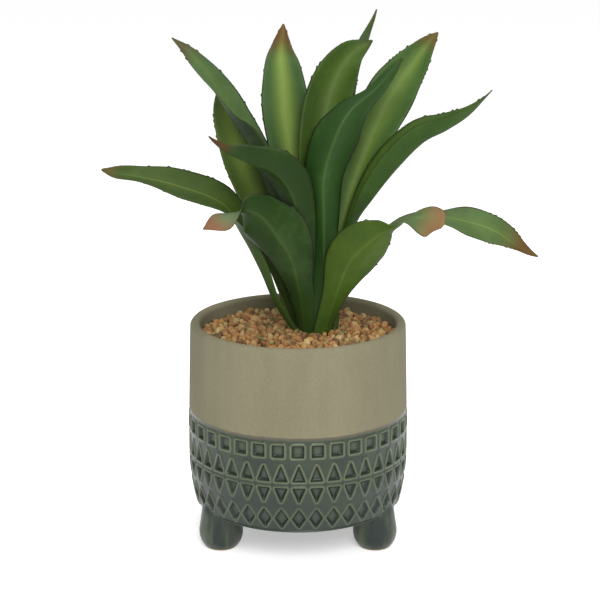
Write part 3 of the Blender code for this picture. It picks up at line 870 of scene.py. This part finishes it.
def stoneware(settings):
    """Bare khaki stoneware above, and glaze that breaks pale over the ridges below."""
    look = Finish("stoneware_and_glaze")
    height = look.height()
    mottle = look.noise(look.stretched(55.0, 55.0, 14.0), 1.0, 4.0, 0.6)
    speck = look.noise(look.place, 900.0, 3.0, 0.7)
    streak = look.noise(look.stretched(160.0, 160.0, 22.0), 1.0, 3.0, 0.6)
    ridge = look.number("ridge")
    pool = look.number("pool")
    recess = look.number("recess")
    # The clay is mottled, with a fine speck.
    bare = look.mix(mottle.rise(0.3, 0.7), settings.bisque_dark, settings.bisque)
    bare = look.mix(0.12, bare, look.mix(speck, *CLAY_SPECKS))
    # The glaze is cloudy on the ground, dark in corners, pooled on floors and thin on ridges.
    clouds = look.noise(look.place, 70.0, 3.0, 0.6)
    ground = look.mix(clouds.rise(0.3, 0.7) * 0.6, settings.glaze, settings.glaze_deep)
    hollow = look.mix(pool, settings.glaze_deep, settings.glaze_pool)
    glazed = look.mix(recess, ground, hollow)
    thin = ridge * (0.55 + 0.6 * streak)
    glazed = look.mix(thin.clamped(), glazed, settings.glaze_thin)
    # It darkens down the bowl, and runs in streaks on the feet.
    deep = 1.0 - (height + 3.0 * clouds).rise(20.5, 24.5)
    glazed = look.mix((1.0 - height.rise(24.0, 70.0)) * 0.4, glazed, settings.glaze_deep)
    legs = look.mix(streak.rise(0.35, 0.75) * 0.55, settings.glaze_deep, settings.glaze_thin)
    glazed = look.mix(deep * 0.85, glazed, legs)
    # Its upper edge wavers, with a thin brown line where it gives out.
    line = settings.glaze_line / MM
    edge = height + 1.6 * mottle + 0.7 * streak - 1.2
    cover = 1.0 - edge.rise(line - 0.35, line + 0.35)
    glazed = look.mix(edge.rise(line - 2.6, line - 0.6) * 0.75, glazed, display(*GLAZE_EDGE))
    colour = look.mix(cover, bare, glazed)
    # The ring that the pot stands on is wiped clean.
    raw = 1.0 - (height + 0.8 * clouds).rise(1.6, 2.4)
    colour = look.mix(raw, colour, settings.raw_foot)
    # Clay is dry and grainy; glaze is glossy and a little wavy.
    shine = cover * (1.0 - raw)
    grain = look.bump(speck, 0.06 * MM, 0.6)
    ripple = look.noise(look.place, 260.0, 2.0, 0.5)
    wavy = look.bump(ripple, 0.35 * MM, 0.5)
    normal = look.add("ShaderNodeMix", {"data_type": "VECTOR"}, {0: shine, 4: grain, 5: wavy}, 1)
    return look.set(
        Base_Color=colour, Roughness=0.88 - shine * (0.44 + 0.1 * clouds),
        Coat_Weight=shine * 0.12, Coat_Roughness=0.2, Specular_IOR_Level=0.32, Normal=normal,
    )


class AGAVE_OT_pot(bpy.types.Operator):
    """Make the pot: bowl, pressed rows, glaze and three feet"""

    bl_idname = "agave.make_pot"
    bl_label = "Make Pot"

    def execute(self, context):
        settings = context.scene.agave_pot
        material = stoneware(settings)
        upper, foot = bowl_profiles()
        turned = turned_mesh("pot_turned", (upper[::-1], foot), ROUND_POINTS)
        body = new_object("pot_turned", turned)
        body.data.materials.append(material)
        cells = {
            name: pressed_cell(f"cell_{name}", settings, *row) for name, row in ROWS.items()
        }
        pot = new_object("pot_finished", pattern_rows(body, cells))
        rounded = smooth_stations(FOOT_PROFILE[:-1], FOOT_SMOOTHING)
        profile = [(0.0, rounded[0][1])] + rounded[1:] + [(0.0, 0.0)]
        feet = []
        for angle in FOOT_ANGLES:
            leg = new_object("foot", turned_mesh("foot", (profile,), FOOT_STEPS))
            leg.data.transform(Matrix.Translation(foot_centre(angle) * MM))
            feet.append(leg)
        for made in [pot] + feet:
            outward_faces(made.data)
        for leg in feet:
            union = pot.modifiers.new("foot", "BOOLEAN")
            union.operation = "UNION"
            union.solver = "MANIFOLD"
            union.object = leg
        mesh = evaluated_mesh(pot, "pot_stoneware")
        blend_feet(mesh)
        mesh.transform(Matrix.Translation(AXIS))
        mesh.materials.clear()
        mesh.materials.append(material)
        mesh.shade_smooth()
        for spare in [body, pot] + feet + list(cells.values()):
            bpy.data.objects.remove(spare)
        finish_piece(new_object("pot_stoneware", mesh), "stoneware", "pot")
        return {"FINISHED"}


def gravel_stone(settings):
    """Gravel: each grain has its own tone, from cream through orange and brown to olive."""
    look = Finish("gravel_stone")
    tones = [(place, display(*tone)) for place, tone in GRAVEL_TONES]
    colour = look.add("ShaderNodeValToRGB", {"stops": tones}, {0: look.number("tone")})
    cloud = look.noise(look.place, 420.0, 4.0, 0.65)
    colour = look.mix(cloud.rise(0.35, 0.75) * 0.5, colour, display(*GRAVEL_BLOOM))
    colour = look.mix((1.0 - cloud.rise(0.25, 0.5)) * 0.5, colour, display(*GRAVEL_SHADE))
    colour = look.mix(look.number("bed"), colour, settings.dust)
    grit = look.noise(look.place, 1500.0, 3.0, 0.7)
    return look.set(
        Base_Color=colour, Roughness=0.62 + 0.25 * grit,
        Normal=look.bump(grit + cloud, 0.25 * MM, 0.7),
    )


def pebble_shape(name, seed):
    """One broken grain, a millimetre wide: the hull of points on a flattened, lumpy ball."""
    draw = random.Random(seed)
    made = bmesh.new()
    wide, deep, tall = draw.uniform(0.8, 1.1), draw.uniform(0.65, 0.95), draw.uniform(0.5, 0.8)
    for index in range(PEBBLE_POINTS):
        lift = 1.0 - 2.0 * (index + 0.5) / PEBBLE_POINTS
        turn = index * GOLDEN_TURN + draw.uniform(-0.25, 0.25)
        ring = math.sqrt(1.0 - lift * lift)
        lump = draw.uniform(0.82, 1.05)
        spot = (wide * ring * math.cos(turn), deep * ring * math.sin(turn), tall * lift)
        made.verts.new(Vector(spot) * lump * 0.5 * MM)
    bmesh.ops.convex_hull(made, input=made.verts)
    loose = [vertex for vertex in made.verts if not vertex.link_faces]
    bmesh.ops.delete(made, geom=loose, context="VERTS")
    mesh = bpy.data.meshes.new(name)
    made.to_mesh(mesh)
    made.free()
    mesh.shade_smooth()
    mesh.set_sharp_from_angle(angle=math.radians(34.0))
    return bpy.data.objects.new(name, mesh)


def scattered_grains(bed, pebbles, settings, material):
    """The bed with two layers of grains strewn over it."""
    nodes, signals = geometry_tree("gravel_scatter", {
        "Grain": "NodeSocketFloat", "Spacing": "NodeSocketFloat", "Seed": "NodeSocketInt",
        "Pebbles": "NodeSocketCollection", "Stone": "NodeSocketMaterial",
    })
    joined = nodes.tree.nodes.new("GeometryNodeJoinGeometry")
    plain_bed = nodes.add("GeometryNodeStoreNamedAttribute", {"data_type": "FLOAT"}, {
        "Geometry": signals["Geometry"], "Name": "bed", "Value": 1.0,
    })
    nodes.tree.links.new(plain_bed.socket, joined.inputs[0])
    top = nodes.add("GeometryNodeInputNormal")
    up = nodes.add("ShaderNodeSeparateXYZ", sockets={0: top}, output="Z")
    facing_up = nodes.add("FunctionNodeCompare", {"data_type": "FLOAT"}, {0: up, 1: 0.7})
    stones = nodes.add("GeometryNodeCollectionInfo", sockets={
        "Collection": signals["Pebbles"], "Separate Children": True, "Reset Children": True,
    })
    number, vector = {"data_type": "FLOAT"}, {"data_type": "FLOAT_VECTOR"}
    for layer, lift in enumerate(LAYER_LIFTS):
        seed = signals["Seed"] + 10 * layer
        spread = nodes.add(
            "GeometryNodeDistributePointsOnFaces", {"distribute_method": "POISSON"}, {
                "Mesh": signals["Geometry"], "Selection": facing_up, "Seed": seed,
                "Distance Min": signals["Spacing"], "Density Max": 400000.0,
            },
        )
        lifted = nodes.add("GeometryNodeSetPosition", sockets={
            "Geometry": spread, "Offset": (0.0, 0.0, lift * MM),
        })
        turn = nodes.add("FunctionNodeRandomValue", vector, {
            0: (0.0, 0.0, 0.0), 1: (6.3, 6.3, 6.3), "Seed": seed + 1,
        })
        size = nodes.add("FunctionNodeRandomValue", number, {
            2: GRAIN_SIZES[0], 3: GRAIN_SIZES[1], "Seed": seed + 2,
        }, 1)
        placed = nodes.add("GeometryNodeInstanceOnPoints", sockets={
            "Points": lifted, "Instance": stones, "Pick Instance": True,
            "Rotation": turn, "Scale": size * signals["Grain"] / MM,
        })
        tone = nodes.add("FunctionNodeRandomValue", number, {2: 0.0, 3: 1.0, "Seed": seed + 3}, 1)
        toned = nodes.add(
            "GeometryNodeStoreNamedAttribute", {"data_type": "FLOAT", "domain": "INSTANCE"},
            {"Geometry": placed, "Name": "tone", "Value": tone},
        )
        nodes.tree.links.new(toned.socket, joined.inputs[0])
    plain = nodes.add("GeometryNodeRealizeInstances", sockets={0: Signal(nodes, joined.outputs[0])})
    finished = nodes.add("GeometryNodeSetMaterial", sockets={
        "Geometry": plain, "Material": signals["Stone"]})
    values = {"Grain": settings.grain, "Spacing": settings.spacing, "Seed": settings.seed,
              "Pebbles": pebbles, "Stone": material}
    return run_geometry_tree(bed, nodes, finished, values, "gravel_grains")


class AGAVE_OT_gravel(bpy.types.Operator):
    """Strew the gravel over its bed in the pot"""

    bl_idname = "agave.make_gravel"
    bl_label = "Make Gravel"

    def execute(self, context):
        settings = context.scene.agave_gravel
        material = gravel_stone(settings)
        edge = BORE_RADIUS - BED_CLEARANCE
        low = BED_UNDERSIDE + BED_CLEARANCE
        profile = [(share * edge, MOUND_TOP - drop) for share, drop in BED_PROFILE]
        profile += [
            (edge - BED_EDGE_WIDTH, MOUND_TOP - BED_EDGE_DROPS[0]),
            (edge, MOUND_TOP - BED_EDGE_DROPS[1]), (edge, low), (0.0, low),
        ]
        mesh = turned_mesh("gravel_bed", (profile,), BED_STEPS)
        mesh.transform(Matrix.Translation(AXIS))
        bed = new_object("gravel_bed", mesh)
        outward_faces(mesh)
        pebbles = bpy.data.collections.new("pebbles")
        for index in range(PEBBLE_COUNT):
            pebbles.objects.link(pebble_shape(f"pebble_{index}", PEBBLE_SEED + index))
        grains = new_object("gravel_grains", scattered_grains(bed, pebbles, settings, material))
        bpy.data.objects.remove(bed)
        for pebble in list(pebbles.objects):
            bpy.data.objects.remove(pebble)
        bpy.data.collections.remove(pebbles)
        finish_piece(grains, "pebble", "gravel")
        return {"FINISHED"}


class AGAVE_OT_core(bpy.types.Operator):
    """Give the compost and the stem their finishes"""

    bl_idname = "agave.finish_core"
    bl_label = "Finish Compost and Stem"

    def execute(self, context):
        compost = Finish("compost")
        crumbs = compost.noise(compost.place, 500.0, 5.0, 0.7)
        dark, pale = (display(*tone) for tone in COMPOST_TONES)
        earth = compost.mix(crumbs.rise(0.3, 0.7), dark, pale)
        compost.set(Base_Color=earth, Roughness=0.95, Normal=compost.bump(crumbs, 0.8 * MM))
        bark = Finish("stem_sheath")
        rings = bark.noise(bark.stretched(150.0, 150.0, 700.0), 1.0, 3.0, 0.6)
        dark, pale = (display(*tone) for tone in SHEATH_TONES)
        sheath = bark.mix(rings.rise(0.3, 0.7), dark, pale)
        bark.set(Base_Color=sheath, Roughness=0.7, Normal=bark.bump(rings, 0.4 * MM))
        for name, look in (("soil", compost), ("stem", bark)):
            materials = frame["nodes"][name].data.materials
            materials.clear()
            materials.append(look.material)
        return {"FINISHED"}


def crease(across):
    """How far a blade has risen from its midrib at -1 to 1 across, with a soft fold."""
    rise = math.hypot(across, CREASE_SOFTNESS) - CREASE_SOFTNESS
    return rise / (math.hypot(1.0, CREASE_SOFTNESS) - CREASE_SOFTNESS)


def even_places(stations, spacing):
    """Places along the stations that are equal lengths of midrib apart, and that length."""
    fine = LENGTH_STEPS * (len(stations) - 1)
    places = [(len(stations) - 1) * step / fine for step in range(fine + 1)]
    points = [Vector(between(stations, place)[:3]) for place in places]
    lengths = [0.0]
    for start, end in zip(points, points[1:]):
        lengths.append(lengths[-1] + (end - start).length)
    count = 2 * round(lengths[-1] / spacing / 2.0)
    even, index = [], 0
    for step in range(count + 1):
        wanted = lengths[-1] * step / count
        while index < fine - 1 and lengths[index + 1] < wanted:
            index += 1
        part = (wanted - lengths[index]) / (lengths[index + 1] - lengths[index])
        even.append(places[index] + min(part, 1.0) * (places[index + 1] - places[index]))
    return even, lengths[-1]


def blade_frame(heading, stations, place):
    """Midrib point, direction along, direction across, upper direction, width and fold."""
    x, y, z, width, roll, fold = between(stations, place)
    end = len(stations) - 1
    ahead = Vector(between(stations, min(place + TANGENT_REACH, end))[:3])
    behind = Vector(between(stations, max(place - TANGENT_REACH, 0.0))[:3])
    along = (ahead - behind).normalized()
    turn = math.radians(heading)
    level = Vector((math.sin(turn), -math.cos(turn), 0.0))
    level = (level - level.dot(along) * along).normalized()
    face = level.cross(along)
    across = math.cos(math.radians(roll)) * level + math.sin(math.radians(roll)) * face
    return Vector((x, y, z)), along, across, across.cross(along), max(width, LEAST_WIDTH), fold


class Blade:
    """The mesh of one leaf: closed ribs of points, lofted from foot to tip."""

    def __init__(self, name, settings):
        self.name = name
        self.heading, shape = LEAF_SHAPES[name]
        start, following = shape[:2]
        reach = BURIED / max(following[2] - start[2], 1.0)
        foot = [a - (b - a) * reach for a, b in zip(start, following)]
        self.stations = (tuple(foot[:3]) + tuple(start[3:]),) + shape
        self.settings = settings
        self.draw = random.Random(name)
        self.drift = self.draw.uniform(0.0, 50.0)
        self.points = []
        self.numbers = {"across": [], "along": [], "upper": [], "tip": []}

    def rib(self, place, share, length, tooth):
        """One closed rib: along the upper face from left to right, then back underneath."""
        middle, along, across, upper, width, fold = blade_frame(self.heading, self.stations, place)
        flat = 0.5 * width * math.cos(math.radians(fold))
        lift = 0.5 * width * math.sin(math.radians(fold))
        panels = self.settings.panels
        taper = min(1.0, 2.2 * (1.0 - share))
        thick = self.settings.thickness / MM * (TIP_THICKNESS + (1.0 - TIP_THICKNESS) * taper)
        thick *= 1.0 + FOOT_THICK * (1.0 - soft_step(share, 0.0, 0.25))
        sides = [(2.0 * step / panels - 1.0, 1.0) for step in range(panels + 1)]
        sides += [(1.0 - 2.0 * step / panels, -1.0) for step in range(1, panels)]
        for side, face in sides:
            wave = noise.noise(Vector((length * share / CURL_LENGTH, self.drift, side)))
            curl = CURL * side * side * wave
            spot = middle + across * flat * side + upper * (lift * crease(side) + curl)
            slope = lift * (crease(side + 0.01) - crease(side - 0.01)) / 0.02
            out = (across * flat + upper * slope).normalized()
            normal = (upper * flat - across * slope).normalized()
            edge = abs(side)
            depth = 0.5 * thick * (1.0 - EDGE_THIN * edge ** 3)
            if edge > MARGIN_SIDE:
                spot += out * side * tooth + along * tooth * 0.9
            else:
                keel = KEEL * math.exp(-((side / KEEL_WIDTH) ** 2)) if face < 0.0 else 0.0
                spot += normal * face * (depth + keel * min(1.0, width / 20.0))
            self.points.append(AXIS + spot * MM)
            self.numbers["across"].append(side)
            self.numbers["along"].append(share)
            self.numbers["upper"].append(0.5 if edge > MARGIN_SIDE else 0.5 + 0.5 * face)
            self.numbers["tip"].append((1.0 - share) * length)

    def build(self):
        """The whole leaf as an object, with a tooth on every other rib."""
        spacing = self.settings.rib_spacing / MM
        places, length = even_places(self.stations, spacing)
        count = len(places) - 1
        for index, place in enumerate(places):
            share = index / count
            toothed = soft_step(share, 0.3, 0.5) * (1.0 - soft_step(share, 0.97, 1.0))
            size = 1.0 if self.draw.random() < TOOTH_SHARE else STUB_TOOTH
            tooth = self.settings.tooth / MM * toothed * size * self.draw.uniform(*TOOTH_SIZES)
            self.rib(place, share, length, tooth if index % 2 else 0.0)
        ring = 2 * self.settings.panels
        faces = [tuple(range(ring - 1, -1, -1))]
        for index in range(count):
            for step in range(ring):
                after = (step + 1) % ring
                low, high = index * ring, (index + 1) * ring
                faces.append((low + step, low + after, high + after, high + step))
        faces.append(tuple(range(count * ring, (count + 1) * ring)))
        mesh = bpy.data.meshes.new(self.name)
        mesh.from_pydata(self.points, [], faces)
        for name, values in self.numbers.items():
            write_numbers(mesh, name, values)
        outward_faces(mesh)
        mesh.shade_smooth()
        return new_object(self.name.replace("leaf", "blade"), mesh)


def leaf_skin(name, settings):
    """Skin of one leaf: fibres, painted glow and shade, midrib, horny margin and rusty tip."""
    top, shaded_underside, rust, reach, glow, rib = LEAF_LOOKS[name]
    look = Finish(name.replace("leaf", "skin"))
    across, along, upper, tip = (look.number(key) for key in ("across", "along", "upper", "tip"))
    side = abs(across)
    # The upper face is green as lit, and the underside is a darker copy of it with painted shade.
    body = look.mix(upper, display(*shaded_underside), display(*top))
    drift = random.Random(name).uniform(0.0, 90.0)
    grain = look.add("ShaderNodeCombineXYZ", sockets={0: across * 16.0, 1: along * 5.0, 2: drift})
    fibres = look.noise(grain, 1.0, 3.0, 0.6)
    mottle = look.noise(look.place, 60.0, 3.0, 0.6)
    pores = look.noise(look.place, 700.0, 2.0, 0.6)
    # Fibres run along the blade, under a soft mottle.
    body = look.mix(fibres.rise(0.3, 0.72) * 0.2, body, settings.glow, "SOFT_LIGHT")
    body = look.mix((1.0 - mottle.rise(0.3, 0.6)) * 0.3, body, display(*LEAF_SHADE))
    body = look.mix(mottle.rise(0.5, 0.8) * 0.1, body, display(*LEAF_BLOOM))
    # The middle of the upper face is painted pale, as a glow of light shining through the blade,
    # with the midrib along it.
    middle = (1.0 - side.rise(0.0, 0.75)) * upper * glow
    body = look.mix((middle * (0.7 + 0.5 * fibres)).clamped(), body, settings.glow)
    midrib = (1.0 - side.rise(0.015, 0.07)) * (1.0 - along.rise(0.86, 0.97))
    body = look.mix(midrib * rib, body, settings.glow)
    foot = 1.0 - along.rise(0.05, 0.3)
    body = look.mix(foot * 0.3, body, display(*LEAF_FOOT))
    edge = side.rise(0.94, 0.995)
    body = look.mix(edge * 0.55, body, settings.margin)
    # Rust creeps down from the tip with a ragged edge, as far as reach of the leaf's length.
    midrib_points = [Vector(station[:3]) for station in LEAF_SHAPES[name][1]]
    length = sum((b - a).length for a, b in zip(midrib_points, midrib_points[1:]))
    ragged = tip + 6.0 * mottle - 3.0 - 2.5 * side
    rusty = 1.0 - ragged.rise(0.35 * reach * length - 1.0, 1.15 * reach * length + 1.0)
    body = look.mix((rusty * (0.6 + 0.5 * fibres)).clamped() * 0.85, body, display(*rust))
    relief = fibres * 0.6 + pores * 0.25 + mottle * 0.5
    return look.set(
        Base_Color=body, Roughness=0.44 + 0.16 * mottle + 0.1 * rusty,
        Normal=look.bump(relief, 0.5 * MM, 0.5), Specular_IOR_Level=0.16,
    )


class AGAVE_OT_leaves(bpy.types.Operator):
    """Make every leaf with its margin teeth and its skin"""

    bl_idname = "agave.make_leaves"
    bl_label = "Make Leaves"

    def execute(self, context):
        settings = context.scene.agave_leaves
        for name in LEAF_SHAPES:
            leaf = Blade(name, settings).build()
            leaf.data.materials.append(leaf_skin(name, settings))
            finish_piece(leaf, "leaf", name)
        return {"FINISHED"}


def area_light(name, place, target, size, power):
    """A large soft light that faces a target."""
    data = bpy.data.lights.new(name, "AREA")
    data.shape = "DISK"
    data.size = size
    data.energy = power
    light = bpy.data.objects.new(name, data)
    bpy.context.scene.collection.objects.link(light)
    light.location = place
    light.rotation_mode = "QUATERNION"
    light.rotation_quaternion = (target - place).to_track_quat("-Z", "Y")


class AGAVE_OT_stage(bpy.types.Operator):
    """Set the floor, the soft lights and the camera"""

    bl_idname = "agave.make_stage"
    bl_label = "Make Stage"

    def execute(self, context):
        settings = context.scene.agave_stage
        scene = context.scene
        scene.view_settings.view_transform = "Standard"
        made = bmesh.new()
        bmesh.ops.create_grid(made, x_segments=1, y_segments=1, size=FLOOR_HALF)
        mesh = bpy.data.meshes.new("floor")
        made.to_mesh(mesh)
        made.free()
        floor = new_object("floor", mesh)
        cloth = Finish("pale_floor")
        cloud = cloth.noise(cloth.place, 3.0)
        white = cloth.mix(cloud * 0.04, settings.floor, (0.9, 0.9, 0.9))
        floor.data.materials.append(cloth.set(
            Base_Color=white, Roughness=0.9, Emission_Color=(1.0, 1.0, 1.0, 1.0),
            Emission_Strength=FLOOR_GLOW,
        ))
        world = bpy.data.worlds.new("studio")
        world.use_nodes = True
        sky = world.node_tree.nodes["Background"]
        sky.inputs["Color"].default_value = (1.0, 1.0, 1.0, 1.0)
        sky.inputs["Strength"].default_value = settings.sky
        scene.world = world
        middle = Vector((AXIS.x, AXIS.y, STAGE_MIDDLE))
        area_light("key", middle + KEY_PLACE, middle, KEY_SIZE, settings.key)
        area_light("top", middle + TOP_PLACE, middle, TOP_SIZE, settings.key * TOP_SHARE)
        data = bpy.data.cameras.new("camera")
        data.sensor_width = 36.0
        data.lens = LENS
        data.clip_start = 0.05
        camera = bpy.data.objects.new("camera", data)
        scene.collection.objects.link(camera)
        back = Vector((0.0, -math.cos(settings.elevation), math.sin(settings.elevation)))
        aim = Vector((AXIS.x + AIM[0] * MM, AXIS.y, AIM[1] * MM))
        camera.location = aim + back * settings.distance
        camera.rotation_euler = (0.5 * math.pi - settings.elevation, 0.0, 0.0)
        scene.camera = camera
        return {"FINISHED"}


class AGAVE_PT_panel(bpy.types.Panel):
    bl_idname = "AGAVE_PT_panel"
    bl_label = "Potted Agave"
    bl_space_type = "VIEW_3D"
    bl_region_type = "UI"
    bl_category = "Agave"

    def draw(self, context):
        for operator, group in STEPS:
            box = self.layout.box()
            box.operator(operator.bl_idname)
            if group:
                settings = getattr(context.scene, group)
                for name in settings.__annotations__:
                    box.prop(settings, name)


STEPS = (
    (AGAVE_OT_pot, "agave_pot"),
    (AGAVE_OT_core, None),
    (AGAVE_OT_gravel, "agave_gravel"),
    (AGAVE_OT_leaves, "agave_leaves"),
    (AGAVE_OT_stage, "agave_stage"),
)
GROUPS = {
    "agave_pot": AgavePotSettings,
    "agave_gravel": AgaveGravelSettings,
    "agave_leaves": AgaveLeafSettings,
    "agave_stage": AgaveStageSettings,
}


def register():
    for name, group in GROUPS.items():
        bpy.utils.register_class(group)
        setattr(bpy.types.Scene, name, bpy.props.PointerProperty(type=group))
    for operator, _ in STEPS:
        bpy.utils.register_class(operator)
    bpy.utils.register_class(AGAVE_PT_panel)


def unregister():
    bpy.utils.unregister_class(AGAVE_PT_panel)
    for operator, _ in reversed(STEPS):
        bpy.utils.unregister_class(operator)
    for name, group in reversed(GROUPS.items()):
        delattr(bpy.types.Scene, name)
        bpy.utils.unregister_class(group)


def main():
    register()
    bpy.ops.agave.make_pot()
    bpy.ops.agave.finish_core()
    bpy.ops.agave.make_gravel()
    bpy.ops.agave.make_leaves()
    bpy.ops.agave.make_stage()


if __name__ == "__main__":
    main()
